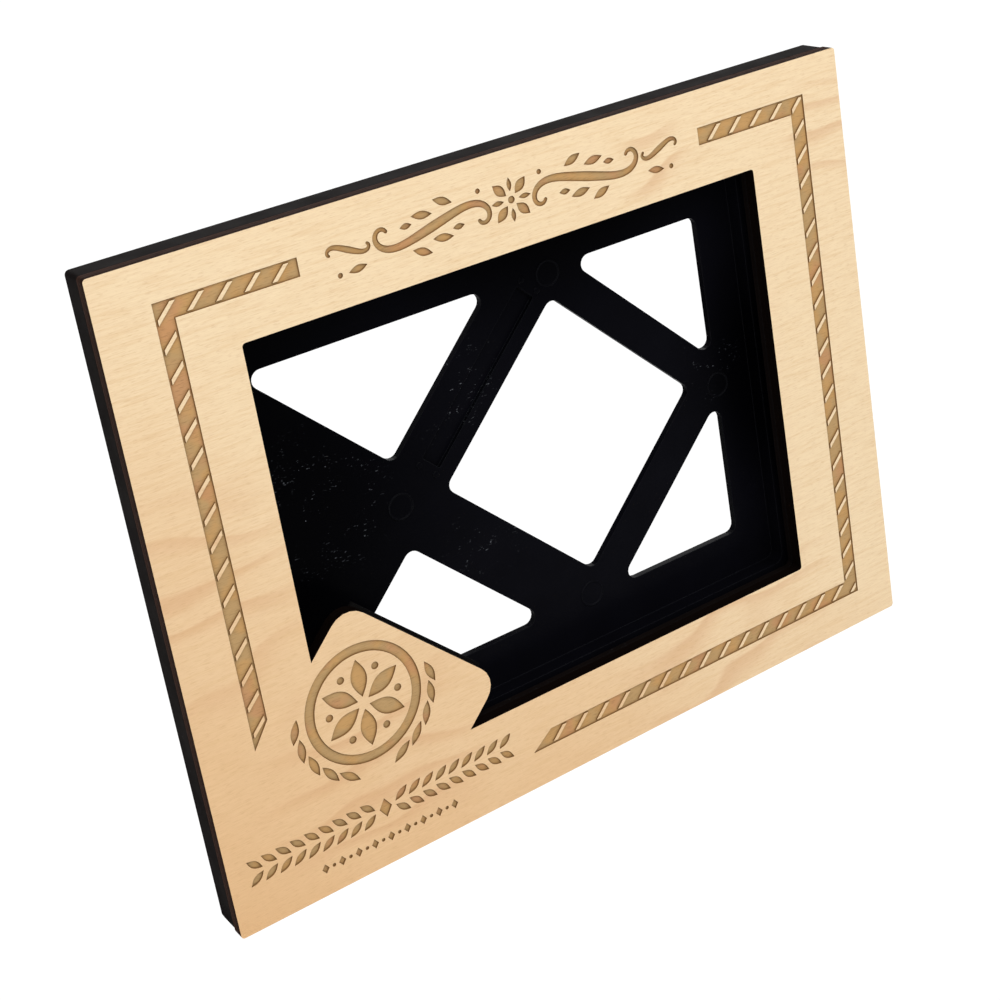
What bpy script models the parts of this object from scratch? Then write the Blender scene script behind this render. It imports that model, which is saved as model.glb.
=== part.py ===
"""An easel photo frame: a laser-cut wooden face taped to a moulded black body, with a swing-out leg.

The panel is modelled upright, in its own space, then leaned back on its leg. In panel space X runs to the
right, Z runs up from the panel's bottom edge, and Y runs backwards from the front of the wooden face, so a
"depth" below is a Y value. The leg is modelled about its hinge, with X along the hinge.
"""

from math import asin, cos, pi, radians, sin, sqrt

import bmesh
import bpy
from mathutils import Matrix, Vector

MM = 0.001
DIAGONAL = 1 / sqrt(2)

# Wooden face
FACE_WIDTH = 192.0 * MM
FACE_HEIGHT = 152.4 * MM
FACE_THICKNESS = 3.4 * MM
FACE_CORNER = 0.8 * MM
WINDOW_WIDTH = 134.4 * MM
WINDOW_HEIGHT = 106.8 * MM
WINDOW_CORNER = 0.8 * MM

# The tab of the face that reaches into the window's lower left corner, a square end turned by 45 degrees
TAB_APEX_FROM_WINDOW_LEFT = 10.2 * MM
TAB_APEX_FROM_WINDOW_BOTTOM = 43.0 * MM
TAB_SIDE = 47.4 * MM
TAB_CORNER = 5.5 * MM

# Foam tape between the face and the bezel
TAPE_THICKNESS = 0.4 * MM
TAPE_GAP = 0.2 * MM
TAPE_INSET = 0.8 * MM
TAPE_END_INSET = 3.0 * MM

# Bezel: the moulded rim behind the face
BEZEL_INSET = 0.2 * MM
BEZEL_CORNER = 1.0 * MM
BEZEL_DEPTH = 4.2 * MM
BEZEL_PLATE = 1.6 * MM
BEZEL_WALL = 2.0 * MM
BEZEL_LEDGE = 1.6 * MM
BEZEL_BACK_EDGE = 0.8 * MM
BEZEL_OPENING_MARGIN = 0.5 * MM
BEZEL_OPENING_CORNER = 1.5 * MM

# Lattice back: flange, tray walls and floor
PHOTO_CHANNEL = 2.1 * MM
FLANGE_THICKNESS = 1.6 * MM
FLANGE_CORNER = 2.5 * MM
TRAY_DEPTH = 4.3 * MM
TRAY_WALL = 1.8 * MM
TRAY_CORNER = 2.4 * MM
TRAY_BACK_EDGE = 1.0 * MM
TRAY_OPENING_MARGIN = 0.3 * MM
FLOOR_THICKNESS = 1.8 * MM
SEAT_GAP = 0.3 * MM

# Lattice: a diamond with two wide bars on the left and two narrow ones on the right
DIAMOND_FROM_CENTRE = 13.55 * MM
DIAMOND_HALF = 35.4 * MM
HOLES_HALF_HEIGHT = 42.5 * MM
HOLES_RIGHT_FROM_CENTRE = 57.2 * MM
WIDE_BAR = 15.6 * MM
NARROW_BAR = 9.5 * MM
LEFT_WEB_HALF = 10.5 * MM
HOLE_CORNER = 2.3 * MM

# Cored groove in the front of the upper wide bar, over the hinge
GROOVE_LENGTH = 44.6 * MM
GROOVE_WIDTH = 5.5 * MM
GROOVE_CORNER = 0.5 * MM
GROOVE_DEPTH = 1.1 * MM
GROOVE_TOWARDS_DIAMOND = 0.9 * MM
GROOVE_UP_THE_BAR = 0.6 * MM

# Gussets between the tray walls and the flange
GUSSET_REACH = 4.0 * MM
GUSSET_BELOW_FLOOR = 1.7 * MM
GUSSET_THICKNESS = 1.5 * MM
GUSSET_COUNT_LONG_SIDE = 4
GUSSET_COUNT_SHORT_SIDE = 3

# Snap clips that hold the lattice back in the bezel
CLIP_WIDTH = 8.0 * MM
CLIP_THICKNESS = 1.4 * MM
CLIP_BARB = 0.9 * MM
CLIP_HEAD = 1.3 * MM
CLIP_RELIEF = 0.2 * MM
CLIPS_FROM_CENTRE = 52.0 * MM

# Hinge sockets on the lattice back
HINGE_HEIGHT = 2.6 * MM
SOCKET_RADIUS = 3.2 * MM
SOCKET_THICKNESS = 4.0 * MM
PIVOT_RADIUS = 1.25 * MM
PIVOT_CLEARANCE = 0.1 * MM
SOCKET_MOUTH = 1.9 * MM

# Leg
LEAN_DEG = 21.5
OPEN_DEG = 56.0
LEG_ROOT_WIDTH = 38.0 * MM
LEG_FOOT_WIDTH = 27.0 * MM
LEG_SHOULDER = 12.0 * MM
LEG_WEB = 2.4 * MM
LEG_RIB_HEIGHT = 2.0 * MM
LEG_RIB = 1.8 * MM
LEG_TIP = 2.2 * MM
BARREL_RADIUS = 2.0 * MM
HEEL_WIDTH = 16.0 * MM
HEEL_REACH = 7.0 * MM
POCKET_ROWS = 4
POCKET_CORNER = 1.5 * MM

# Facets of a quarter turn on rounded corners, and of a full turn on round pins
CORNER_STEPS = 5
ROUND_SEGMENTS = 40
SHARP_DEG = 30
OVERLAP = 0.6 * MM
WELD = 0.001 * MM
FLAT_DEG = 0.05

# Depths, from the front of the wooden face
TAPE_FRONT = FACE_THICKNESS + TAPE_GAP
BEZEL_FRONT = TAPE_FRONT + TAPE_THICKNESS + TAPE_GAP
BEZEL_PLATE_BACK = BEZEL_FRONT + BEZEL_PLATE
BEZEL_BACK = BEZEL_FRONT + BEZEL_DEPTH
FLANGE_FRONT = BEZEL_PLATE_BACK + PHOTO_CHANNEL
FLANGE_BACK = FLANGE_FRONT + FLANGE_THICKNESS
FLOOR_FRONT = FLANGE_FRONT + TRAY_DEPTH
FLOOR_BACK = FLOOR_FRONT + FLOOR_THICKNESS
HINGE_DEPTH = FLOOR_BACK + HINGE_HEIGHT

# Heights, from the panel's bottom edge
MIDDLE = FACE_HEIGHT / 2
WINDOW_LEFT = -WINDOW_WIDTH / 2
WINDOW_BOTTOM = MIDDLE - WINDOW_HEIGHT / 2
WINDOW_TOP = MIDDLE + WINDOW_HEIGHT / 2

# Hinge centre, on the groove's centre line
HINGE_ACROSS = DIAMOND_HALF * DIAGONAL + WIDE_BAR / 2 - GROOVE_TOWARDS_DIAMOND
HINGE_X = DIAMOND_FROM_CENTRE + (GROOVE_UP_THE_BAR - HINGE_ACROSS) * DIAGONAL
HINGE_Z = MIDDLE + (GROOVE_UP_THE_BAR + HINGE_ACROSS) * DIAGONAL

# The panel stands on the bezel's bottom edge, where its back edge starts to round
LEAN = radians(LEAN_DEG)
OPEN = radians(OPEN_DEG)
STAND_DEPTH = BEZEL_BACK - BEZEL_BACK_EDGE
RISE = STAND_DEPTH * sin(LEAN) - BEZEL_INSET * cos(LEAN)

# How far the leg runs from its hinge to the table
LEG_DROP = cos(OPEN) * DIAGONAL * cos(LEAN) + sin(OPEN) * sin(LEAN)
HINGE_ABOVE_TABLE = HINGE_Z * cos(LEAN) - HINGE_DEPTH * sin(LEAN) + RISE
LEG_LENGTH = HINGE_ABOVE_TABLE / LEG_DROP


def clear_scene():
    for old in list(bpy.data.objects):
        bpy.data.objects.remove(old, do_unlink=True)


def new_collection(name, hidden=False):
    collection = bpy.data.collections.new(name)
    bpy.context.scene.collection.children.link(collection)
    collection.hide_render = hidden
    return collection


def make_material(name, colour, roughness, metallic=0.0):
    material = bpy.data.materials.new(name)
    material.use_nodes = True
    shader = material.node_tree.nodes["Principled BSDF"]
    shader.inputs["Base Color"].default_value = (*colour, 1.0)
    shader.inputs["Roughness"].default_value = roughness
    shader.inputs["Metallic"].default_value = metallic
    return material


def rounded(corners):
    """The outline through (x, z, radius) corners, each rounded by an arc of its radius."""
    outline = []
    count = len(corners)
    for i, (x, z, radius) in enumerate(corners):
        corner = Vector((x, z))
        before = (Vector(corners[i - 1][:2]) - corner).normalized()
        after = (Vector(corners[(i + 1) % count][:2]) - corner).normalized()
        if radius == 0:
            outline.append(corner)
            continue
        half = before.angle(after) / 2
        centre = corner + (before + after).normalized() * (radius / sin(half))
        turn = pi - 2 * half
        start = corner + before * (radius * cos(half) / sin(half)) - centre
        sign = 1 if before.cross(after) < 0 else -1
        steps = max(2, round(CORNER_STEPS * turn / (pi / 2)))
        for step in range(steps + 1):
            angle = sign * turn * step / steps
            outline.append(centre + Matrix.Rotation(angle, 2) @ start)
    return outline


def rectangle(left, right, bottom, top, radius):
    return rounded([(left, bottom, radius), (right, bottom, radius), (right, top, radius), (left, top, radius)])


def centred_rectangle(width, height, radius):
    return rectangle(-width / 2, width / 2, MIDDLE - height / 2, MIDDLE + height / 2, radius)


def slab(name, outlines, front, back, collection):
    """A plate in the XZ plane between two depths. Outlines inside the first one are holes."""
    curve = bpy.data.curves.new(name, "CURVE")
    curve.dimensions = "2D"
    curve.fill_mode = "BOTH"
    curve.extrude = (back - front) / 2
    for outline in outlines:
        spline = curve.splines.new("POLY")
        spline.points.add(len(outline) - 1)
        for point, (x, z) in zip(spline.points, outline):
            point.co = (x, z, 0, 1)
        spline.use_cyclic_u = True
    flat = bpy.data.objects.new(name, curve)
    bpy.context.scene.collection.objects.link(flat)
    graph = bpy.context.evaluated_depsgraph_get()
    mesh = bpy.data.meshes.new_from_object(flat.evaluated_get(graph))
    bpy.data.objects.remove(flat)
    bpy.data.curves.remove(curve)
    mesh.transform(Matrix.Translation((0, (front + back) / 2, 0)) @ Matrix.Rotation(pi / 2, 4, "X"))
    weld(mesh)
    mesh.name = name
    return mesh_object(name, mesh, collection)


def weld(mesh):
    """Joins points that coincide and makes each flat side one face, whose edges no later cut can graze."""
    shape = bmesh.new()
    shape.from_mesh(mesh)
    bmesh.ops.remove_doubles(shape, verts=shape.verts, dist=WELD)
    bmesh.ops.dissolve_limit(shape, angle_limit=radians(FLAT_DEG), verts=shape.verts, edges=shape.edges)
    bmesh.ops.recalc_face_normals(shape, faces=shape.faces)
    shape.to_mesh(mesh)
    shape.free()


def mesh_object(name, mesh, collection):
    made = bpy.data.objects.new(name, mesh)
    collection.objects.link(made)
    return made


def cylinder(name, radius, length, collection):
    """A round bar along X, centred on the origin."""
    shape = bmesh.new()
    bmesh.ops.create_cone(
        shape, cap_ends=True, segments=ROUND_SEGMENTS, radius1=radius, radius2=radius, depth=length
    )
    bmesh.ops.rotate(shape, verts=shape.verts, matrix=Matrix.Rotation(pi / 2, 3, "Y"))
    mesh = bpy.data.meshes.new(name)
    shape.to_mesh(mesh)
    shape.free()
    return mesh_object(name, mesh, collection)


def combine(target, helper, operation):
    """Adds a Boolean with a helper solid, which stays out of the render."""
    helper.hide_render = True
    helper.display_type = "WIRE"
    boolean = target.modifiers.new(helper.name, "BOOLEAN")
    boolean.operation = operation
    boolean.object = helper
    boolean.solver = "EXACT"


def bevel_rim(body, depth, width, segments=2):
    """Rounds the edges of a body's end face at one depth."""
    shape = bmesh.new()
    shape.from_mesh(body.data)
    ends = [f for f in shape.faces if all(abs(v.co.y - depth) < WELD for v in f.verts)]
    rim = [e for f in ends for e in f.edges if any(g not in ends for g in e.link_faces)]
    bmesh.ops.bevel(shape, geom=rim, offset=width, segments=segments, profile=0.5, affect="EDGES")
    shape.to_mesh(body.data)
    shape.free()


def tab_corners():
    """The window's corners, anticlockwise from its lower right, round the tab."""
    apex_x = WINDOW_LEFT + TAB_APEX_FROM_WINDOW_LEFT
    apex_z = WINDOW_BOTTOM + TAB_APEX_FROM_WINDOW_BOTTOM
    far_x = apex_x + TAB_SIDE * DIAGONAL
    far_z = apex_z - TAB_SIDE * DIAGONAL
    return [
        (WINDOW_LEFT, apex_z - TAB_APEX_FROM_WINDOW_LEFT, 0),
        (apex_x, apex_z, TAB_CORNER),
        (far_x, far_z, TAB_CORNER),
        (far_x - (far_z - WINDOW_BOTTOM), WINDOW_BOTTOM, 0),
    ]


def make_face(parts):
    outside = centred_rectangle(FACE_WIDTH, FACE_HEIGHT, FACE_CORNER)
    window = rounded(
        tab_corners()
        + [
            (-WINDOW_LEFT, WINDOW_BOTTOM, WINDOW_CORNER),
            (-WINDOW_LEFT, WINDOW_TOP, WINDOW_CORNER),
            (WINDOW_LEFT, WINDOW_TOP, WINDOW_CORNER),
        ]
    )
    return slab("wood_face", [outside, window], 0, FACE_THICKNESS, parts)


def make_tapes(parts):
    """Four strips round the window: two long ones, and two that fill the sides between them."""
    outer_x = FACE_WIDTH / 2 - BEZEL_INSET - TAPE_INSET
    outer_z = FACE_HEIGHT / 2 - BEZEL_INSET - TAPE_INSET
    inner_x = WINDOW_WIDTH / 2 + BEZEL_OPENING_MARGIN + TAPE_INSET
    inner_z = WINDOW_HEIGHT / 2 + BEZEL_OPENING_MARGIN + TAPE_INSET
    end_x = outer_x - TAPE_END_INSET
    side_z = inner_z - SEAT_GAP
    strips = {
        "tape_top": (-end_x, end_x, MIDDLE + inner_z, MIDDLE + outer_z),
        "tape_bottom": (-end_x, end_x, MIDDLE - outer_z, MIDDLE - inner_z),
        "tape_left": (-outer_x, -inner_x, MIDDLE - side_z, MIDDLE + side_z),
        "tape_right": (inner_x, outer_x, MIDDLE - side_z, MIDDLE + side_z),
    }
    back = TAPE_FRONT + TAPE_THICKNESS
    return [slab(name, [rectangle(*box, 0)], TAPE_FRONT, back, parts) for name, box in strips.items()]


def clip_places():
    """Each clip as (distance of its outer face from the panel's middle, place along the side, turn)."""
    half_width = FACE_WIDTH / 2 - BEZEL_INSET - BEZEL_WALL
    half_height = FACE_HEIGHT / 2 - BEZEL_INSET - BEZEL_WALL
    places = [(half_width, 0, turn) for turn in (0, pi)]
    places += [(half_height, along, turn) for along in (-1, 1) for turn in (pi / 2, -pi / 2)]
    return [(reach, along * CLIPS_FROM_CENTRE, turn) for reach, along, turn in places]


def turned_about_middle(made, turn):
    centre = Matrix.Translation((0, 0, MIDDLE))
    made.data.transform(centre @ Matrix.Rotation(turn, 4, "Y") @ centre.inverted())


def prism_along_z(name, profile, width, place, collection):
    """A profile of (x, depth) points, extruded along Z about the given height."""
    made = slab(name, [profile], -width / 2, width / 2, collection)
    made.data.transform(Matrix.Translation((0, 0, place)) @ Matrix.Rotation(-pi / 2, 4, "X"))
    return made


def make_bezel(parts, helpers):
    width = FACE_WIDTH - 2 * BEZEL_INSET
    height = FACE_HEIGHT - 2 * BEZEL_INSET
    bezel = slab("bezel_frame", [centred_rectangle(width, height, BEZEL_CORNER)], BEZEL_FRONT, BEZEL_BACK, parts)
    bevel_rim(bezel, BEZEL_BACK, BEZEL_BACK_EDGE)
    seat = FLANGE_FRONT - SEAT_GAP
    recesses = {"flange_recess": (BEZEL_WALL, seat), "print_channel": (BEZEL_WALL + BEZEL_LEDGE, BEZEL_PLATE_BACK)}
    for name, (rim, bottom) in recesses.items():
        inner = centred_rectangle(width - 2 * rim, height - 2 * rim, FLANGE_CORNER + SEAT_GAP)
        combine(bezel, slab(name, [inner], bottom, BEZEL_BACK + OVERLAP, helpers), "DIFFERENCE")
    margin = 2 * BEZEL_OPENING_MARGIN
    window = centred_rectangle(WINDOW_WIDTH + margin, WINDOW_HEIGHT + margin, BEZEL_OPENING_CORNER)
    opening = slab("bezel_opening", [window], BEZEL_FRONT - OVERLAP, BEZEL_PLATE_BACK + OVERLAP, helpers)
    combine(bezel, opening, "DIFFERENCE")
    for number, (reach, along, turn) in enumerate(clip_places()):
        inside = reach - CLIP_THICKNESS
        barb_front = FLANGE_BACK + SEAT_GAP
        barb_back = barb_front + CLIP_HEAD
        profile = [
            (reach + OVERLAP, seat - OVERLAP),
            (reach + OVERLAP, BEZEL_BACK - BEZEL_BACK_EDGE),
            (reach - CLIP_RELIEF, BEZEL_BACK + CLIP_RELIEF),
            (reach - CLIP_RELIEF, barb_back),
            (inside, barb_back),
            (inside - CLIP_BARB, barb_front),
            (inside, barb_front),
            (inside, seat - OVERLAP),
        ]
        clip = prism_along_z(f"clip_{number}", profile[::-1], CLIP_WIDTH, MIDDLE + along, helpers)
        turned_about_middle(clip, turn)
        combine(bezel, clip, "UNION")
    return bezel


def lattice_holes():
    """The lattice's five openings: the diamond, and above and below it a triangle on the left and on the right."""
    centre = DIAMOND_FROM_CENTRE
    high = HOLES_HALF_HEIGHT
    wide = DIAMOND_HALF + WIDE_BAR / DIAGONAL
    narrow = DIAMOND_HALF + NARROW_BAR / DIAGONAL
    knee_x = centre - wide + LEFT_WEB_HALF
    knee_reach = high - LEFT_WEB_HALF
    right = HOLES_RIGHT_FROM_CENTRE
    right_low = narrow - (right - centre)
    right_left = centre + narrow - high
    diamond = [(-DIAMOND_HALF, 0), (0, -DIAMOND_HALF), (DIAMOND_HALF, 0), (0, DIAMOND_HALF)]
    holes = [[(centre + x, z) for x, z in diamond]]
    for sign in (1, -1):
        left_triangle = [
            (knee_x, LEFT_WEB_HALF * sign),
            (knee_x + knee_reach, high * sign),
            (knee_x - knee_reach, high * sign),
        ]
        right_triangle = [(right, right_low * sign), (right, high * sign), (right_left, high * sign)]
        holes += [left_triangle[::sign], right_triangle[::sign]]
    return [rounded([(x, MIDDLE + z, HOLE_CORNER) for x, z in corners]) for corners in holes]


def along_hinge(made, reach=0.0):
    """Turns a shape made about the origin into the hinge's place, moved along the hinge."""
    place = Matrix.Translation((HINGE_X, HINGE_DEPTH, HINGE_Z)) @ Matrix.Rotation(-pi / 4, 4, "Y")
    made.data.transform(place @ Matrix.Translation((reach, 0, 0)))


def socket_profile():
    """A round-backed ear with a bore that opens backwards, so that the leg's pivot snaps in."""
    bore = PIVOT_RADIUS + PIVOT_CLEARANCE
    root = -HINGE_HEIGHT - OVERLAP / 2
    mouth = SOCKET_MOUTH / 2
    outer_start = asin(mouth / SOCKET_RADIUS)
    bore_start = asin(mouth / bore)
    steps = ROUND_SEGMENTS // 2
    outer = [outer_start + (pi / 2 - outer_start) * i / (steps // 2) for i in range(steps // 2 + 1)]
    inner = [bore_start + 2 * (pi - bore_start) * i / steps for i in range(steps + 1)]
    right_half = [(SOCKET_RADIUS * sin(a), SOCKET_RADIUS * cos(a)) for a in outer]
    round_bore = [(bore * sin(a), bore * cos(a)) for a in reversed(inner)]
    left_half = [(-x, depth) for x, depth in right_half]
    return [*right_half, (SOCKET_RADIUS, root), (-SOCKET_RADIUS, root), *reversed(left_half), *round_bore]


def make_sockets(back, helpers):
    for side in (-1, 1):
        socket = prism_along_z(f"socket_{side}", socket_profile(), SOCKET_THICKNESS, 0, helpers)
        socket.data.transform(Matrix.Rotation(pi / 2, 4, "Y"))
        reach = LEG_ROOT_WIDTH / 2 + SEAT_GAP + SOCKET_THICKNESS / 2
        along_hinge(socket, side * reach)
        combine(back, socket, "UNION")


def make_gussets(back, helpers, tray_width, tray_height):
    root = FLANGE_BACK - OVERLAP / 2
    top = FLOOR_BACK - GUSSET_BELOW_FLOOR
    profile = [(-OVERLAP, root), (GUSSET_REACH, root), (GUSSET_REACH, FLANGE_BACK), (0, top), (-OVERLAP, top)]
    long_side = (tray_height, tray_width, GUSSET_COUNT_LONG_SIDE, (pi / 2, -pi / 2))
    short_side = (tray_width, tray_height, GUSSET_COUNT_SHORT_SIDE, (0, pi))
    for across, length, count, turns in (long_side, short_side):
        for number in range(count):
            along = length * ((number + 0.5) / count - 0.5)
            for turn in turns:
                name = f"gusset_{number}_{turn:.0f}_{count}"
                shifted = [(across / 2 + x, depth) for x, depth in profile]
                gusset = prism_along_z(name, shifted, GUSSET_THICKNESS, MIDDLE + along, helpers)
                turned_about_middle(gusset, turn)
                combine(back, gusset, "UNION")


def make_lattice_back(parts, helpers):
    edge = 2 * (BEZEL_INSET + BEZEL_WALL + SEAT_GAP)
    flange_outline = centred_rectangle(FACE_WIDTH - edge, FACE_HEIGHT - edge, FLANGE_CORNER)
    back = slab("lattice_back", [flange_outline], FLANGE_FRONT, FLANGE_BACK, parts)
    opening_width = WINDOW_WIDTH + 2 * TRAY_OPENING_MARGIN
    opening_height = WINDOW_HEIGHT + 2 * TRAY_OPENING_MARGIN
    tray_width = opening_width + 2 * TRAY_WALL
    tray_height = opening_height + 2 * TRAY_WALL
    tray_outline = centred_rectangle(tray_width, tray_height, TRAY_CORNER + TRAY_WALL)
    tray = slab("tray_block", [tray_outline], FLANGE_BACK - OVERLAP, FLOOR_BACK, helpers)
    bevel_rim(tray, FLOOR_BACK, TRAY_BACK_EDGE, segments=3)
    holes = slab("holes", lattice_holes(), FLOOR_FRONT - OVERLAP, FLOOR_BACK + OVERLAP, helpers)
    combine(tray, holes, "DIFFERENCE")
    combine(back, tray, "UNION")
    make_gussets(back, helpers, tray_width, tray_height)
    make_sockets(back, helpers)
    opening = centred_rectangle(opening_width, opening_height, TRAY_CORNER)
    combine(back, slab("tray_hollow", [opening], FLANGE_FRONT - OVERLAP, FLOOR_FRONT, helpers), "DIFFERENCE")
    half_length = GROOVE_LENGTH / 2
    half_width = GROOVE_WIDTH / 2
    strip = rectangle(-half_length, half_length, -half_width, half_width, GROOVE_CORNER)
    groove_front = FLOOR_FRONT - OVERLAP - HINGE_DEPTH
    groove_back = FLOOR_FRONT + GROOVE_DEPTH - HINGE_DEPTH
    groove = slab("groove", [strip], groove_front, groove_back, helpers)
    along_hinge(groove)
    combine(back, groove, "DIFFERENCE")
    notch_depth = CLIP_THICKNESS + SEAT_GAP
    for number, (reach, along, turn) in enumerate(clip_places()):
        half = CLIP_WIDTH / 2 + SEAT_GAP
        box = rectangle(reach - notch_depth, reach + OVERLAP, MIDDLE + along - half, MIDDLE + along + half, 0)
        notch = slab(f"notch_{number}", [box], FLANGE_FRONT - OVERLAP, FLANGE_BACK + OVERLAP, helpers)
        turned_about_middle(notch, turn)
        combine(back, notch, "DIFFERENCE")
    return back


def leg_half_width(down):
    """Half the leg's width at a distance down from the hinge: parallel at the shoulder, then tapered."""
    if down <= LEG_SHOULDER:
        return LEG_ROOT_WIDTH / 2
    share = (down - LEG_SHOULDER) / (LEG_LENGTH - LEG_SHOULDER)
    return (LEG_ROOT_WIDTH + (LEG_FOOT_WIDTH - LEG_ROOT_WIDTH) * share) / 2


def leg_pockets():
    """Two columns of pockets between the leg's ribs, as outlines."""
    top = BARREL_RADIUS + LEG_RIB
    bottom = LEG_LENGTH - LEG_FOOT_WIDTH / 2 - LEG_RIB
    pitch = (bottom - top + LEG_RIB) / POCKET_ROWS
    pockets = []
    for row in range(POCKET_ROWS):
        high = top + row * pitch
        low = high + pitch - LEG_RIB
        for side in (-1, 1):
            inner = side * LEG_RIB / 2
            corners = [
                (inner, -low, POCKET_CORNER),
                (side * (leg_half_width(low) - LEG_RIB), -low, POCKET_CORNER),
                (side * (leg_half_width(high) - LEG_RIB), -high, POCKET_CORNER),
                (inner, -high, POCKET_CORNER),
            ]
            pockets.append(rounded(corners[::side]))
    return pockets


def make_leg(parts, helpers, pose):
    """The leg about its hinge: X along the hinge, -Z down the leg, Y to its ribbed outer side."""
    front = -LEG_WEB / 2
    outer = LEG_WEB / 2 + LEG_RIB_HEIGHT
    end = LEG_LENGTH + LEG_WEB + LEG_RIB_HEIGHT
    foot = leg_half_width(LEG_LENGTH)
    root = LEG_ROOT_WIDTH / 2
    heel = HEEL_WIDTH / 2
    outline = [
        (foot, -end, 0),
        (root, -LEG_SHOULDER, 0),
        (root, 0, BARREL_RADIUS / 2),
        (heel, 0, 0),
        (heel, HEEL_REACH, 0),
    ]
    mirrored = [(-x, z, radius) for x, z, radius in reversed(outline)]
    leg = slab("easel_leg", [rounded(outline + mirrored)], front, outer, parts)
    pockets = slab("leg_pockets", leg_pockets(), LEG_WEB / 2, outer + OVERLAP, helpers)
    combine(leg, pockets, "DIFFERENCE")
    combine(leg, cylinder("leg_barrel", BARREL_RADIUS, LEG_ROOT_WIDTH, helpers), "UNION")
    pivot_length = LEG_ROOT_WIDTH + 2 * (SEAT_GAP + SOCKET_THICKNESS)
    combine(leg, cylinder("leg_pivots", PIVOT_RADIUS, pivot_length, helpers), "UNION")
    make_foot_cuts(leg, helpers, pose)
    make_heel_cut(leg, helpers)
    return leg


def make_foot_cuts(leg, helpers, pose):
    """Cuts the foot level with the table, and again mirrored for a panel that stands on its side."""
    size = 2 * LEG_LENGTH
    block = slab("table_cut", [rectangle(-size, size, -size, 0, 0)], -size, size, helpers)
    block.data.transform(pose.inverted())
    combine(leg, block, "DIFFERENCE")
    mirrored = mesh_object("side_table_cut", block.data.copy(), helpers)
    mirrored.data.transform(Matrix.Scale(-1, 4, (1, 0, 0)))
    mirrored.data.flip_normals()
    combine(leg, mirrored, "DIFFERENCE")
    tip = slab("tip_cut", [rectangle(-size, size, -size, LEG_TIP - LEG_LENGTH, 0)], -size, size, helpers)
    combine(leg, tip, "DIFFERENCE")


def make_heel_cut(leg, helpers):
    """Cuts the heel parallel to the back's floor when the leg is open, where it stops the leg."""
    size = HEEL_REACH * 2
    stop = -HINGE_HEIGHT + SEAT_GAP
    block = slab("heel_cut", [rectangle(-size, size, -size, size, 0)], stop - size, stop, helpers)
    block.data.transform(Matrix.Rotation(-OPEN, 4, "X"))
    combine(leg, block, "DIFFERENCE")


def finish(solid):
    """Applies a solid's Booleans, then shades its round stretches smooth and its edges sharp."""
    graph = bpy.context.evaluated_depsgraph_get()
    mesh = bpy.data.meshes.new_from_object(solid.evaluated_get(graph))
    solid.modifiers.clear()
    solid.data = mesh
    mesh.name = solid.name
    mesh.shade_smooth()
    mesh.set_sharp_from_angle(angle=radians(SHARP_DEG))


def parent_to(parts, parent):
    for part in parts:
        part.parent = parent


def centre_footprint(stand, solids):
    """Moves the stand so that the object's box is centred on the origin, front to back."""
    bpy.context.view_layer.update()
    depths = [(solid.matrix_world @ vertex.co).y for solid in solids for vertex in solid.data.vertices]
    stand.location.y -= (min(depths) + max(depths)) / 2


def main():
    clear_scene()
    parts = new_collection("easel_photo_frame")
    helpers = new_collection("cutters", hidden=True)
    maple = make_material("maple plywood", (0.80, 0.62, 0.42), 0.55)
    tape_foam = make_material("foam tape", (0.05, 0.05, 0.05), 0.9)
    black_rim = make_material("black rim plastic", (0.022, 0.021, 0.022), 0.45)
    black_back = make_material("black back plastic", (0.014, 0.014, 0.016), 0.35)
    black_leg = make_material("black leg plastic", (0.018, 0.018, 0.019), 0.4)

    stand = bpy.data.objects.new("stand", None)
    parts.objects.link(stand)
    stand.rotation_euler = (-LEAN, 0, 0)
    stand.location = (0, 0, RISE)
    hinge_place = Vector((HINGE_X, HINGE_DEPTH, HINGE_Z))
    hinge_turn = Matrix.Rotation(-pi / 4, 4, "Y") @ Matrix.Rotation(OPEN, 4, "X")
    leaned = Matrix.Translation(stand.location) @ Matrix.Rotation(-LEAN, 4, "X")
    leg_pose = leaned @ Matrix.Translation(hinge_place) @ hinge_turn

    face = make_face(parts)
    tapes = make_tapes(parts)
    bezel = make_bezel(parts, helpers)
    back = make_lattice_back(parts, helpers)
    leg = make_leg(parts, helpers, leg_pose)
    leg_helpers = [boolean.object for boolean in leg.modifiers]
    for made in (leg, *leg_helpers):
        made.location = hinge_place
        made.rotation_euler = hinge_turn.to_euler()
    solids = [face, *tapes, bezel, back, leg]
    parent_to([*solids, *helpers.objects], stand)

    finishes = {maple: [face], tape_foam: tapes, black_rim: [bezel], black_back: [back], black_leg: [leg]}
    for material, pieces in finishes.items():
        for piece in pieces:
            piece.data.materials.append(material)
    for solid in solids:
        finish(solid)
    centre_footprint(stand, solids)


main()
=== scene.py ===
# %% [markdown]
# # A desk photo frame in engraved maple plywood
#
# The real object is a laser-cut plywood face taped to a black moulded rim, with a
# black lattice back and a folding leg behind it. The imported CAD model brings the
# exact solids. This lesson gives them their finishes, cuts the engraving into the
# face, adds the small marks that moulding leaves, and sets up the photographer's
# table.

# %% Load the frame that everything is fitted to
import math

import bmesh
import bpy
from mathutils import Matrix, Vector


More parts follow.
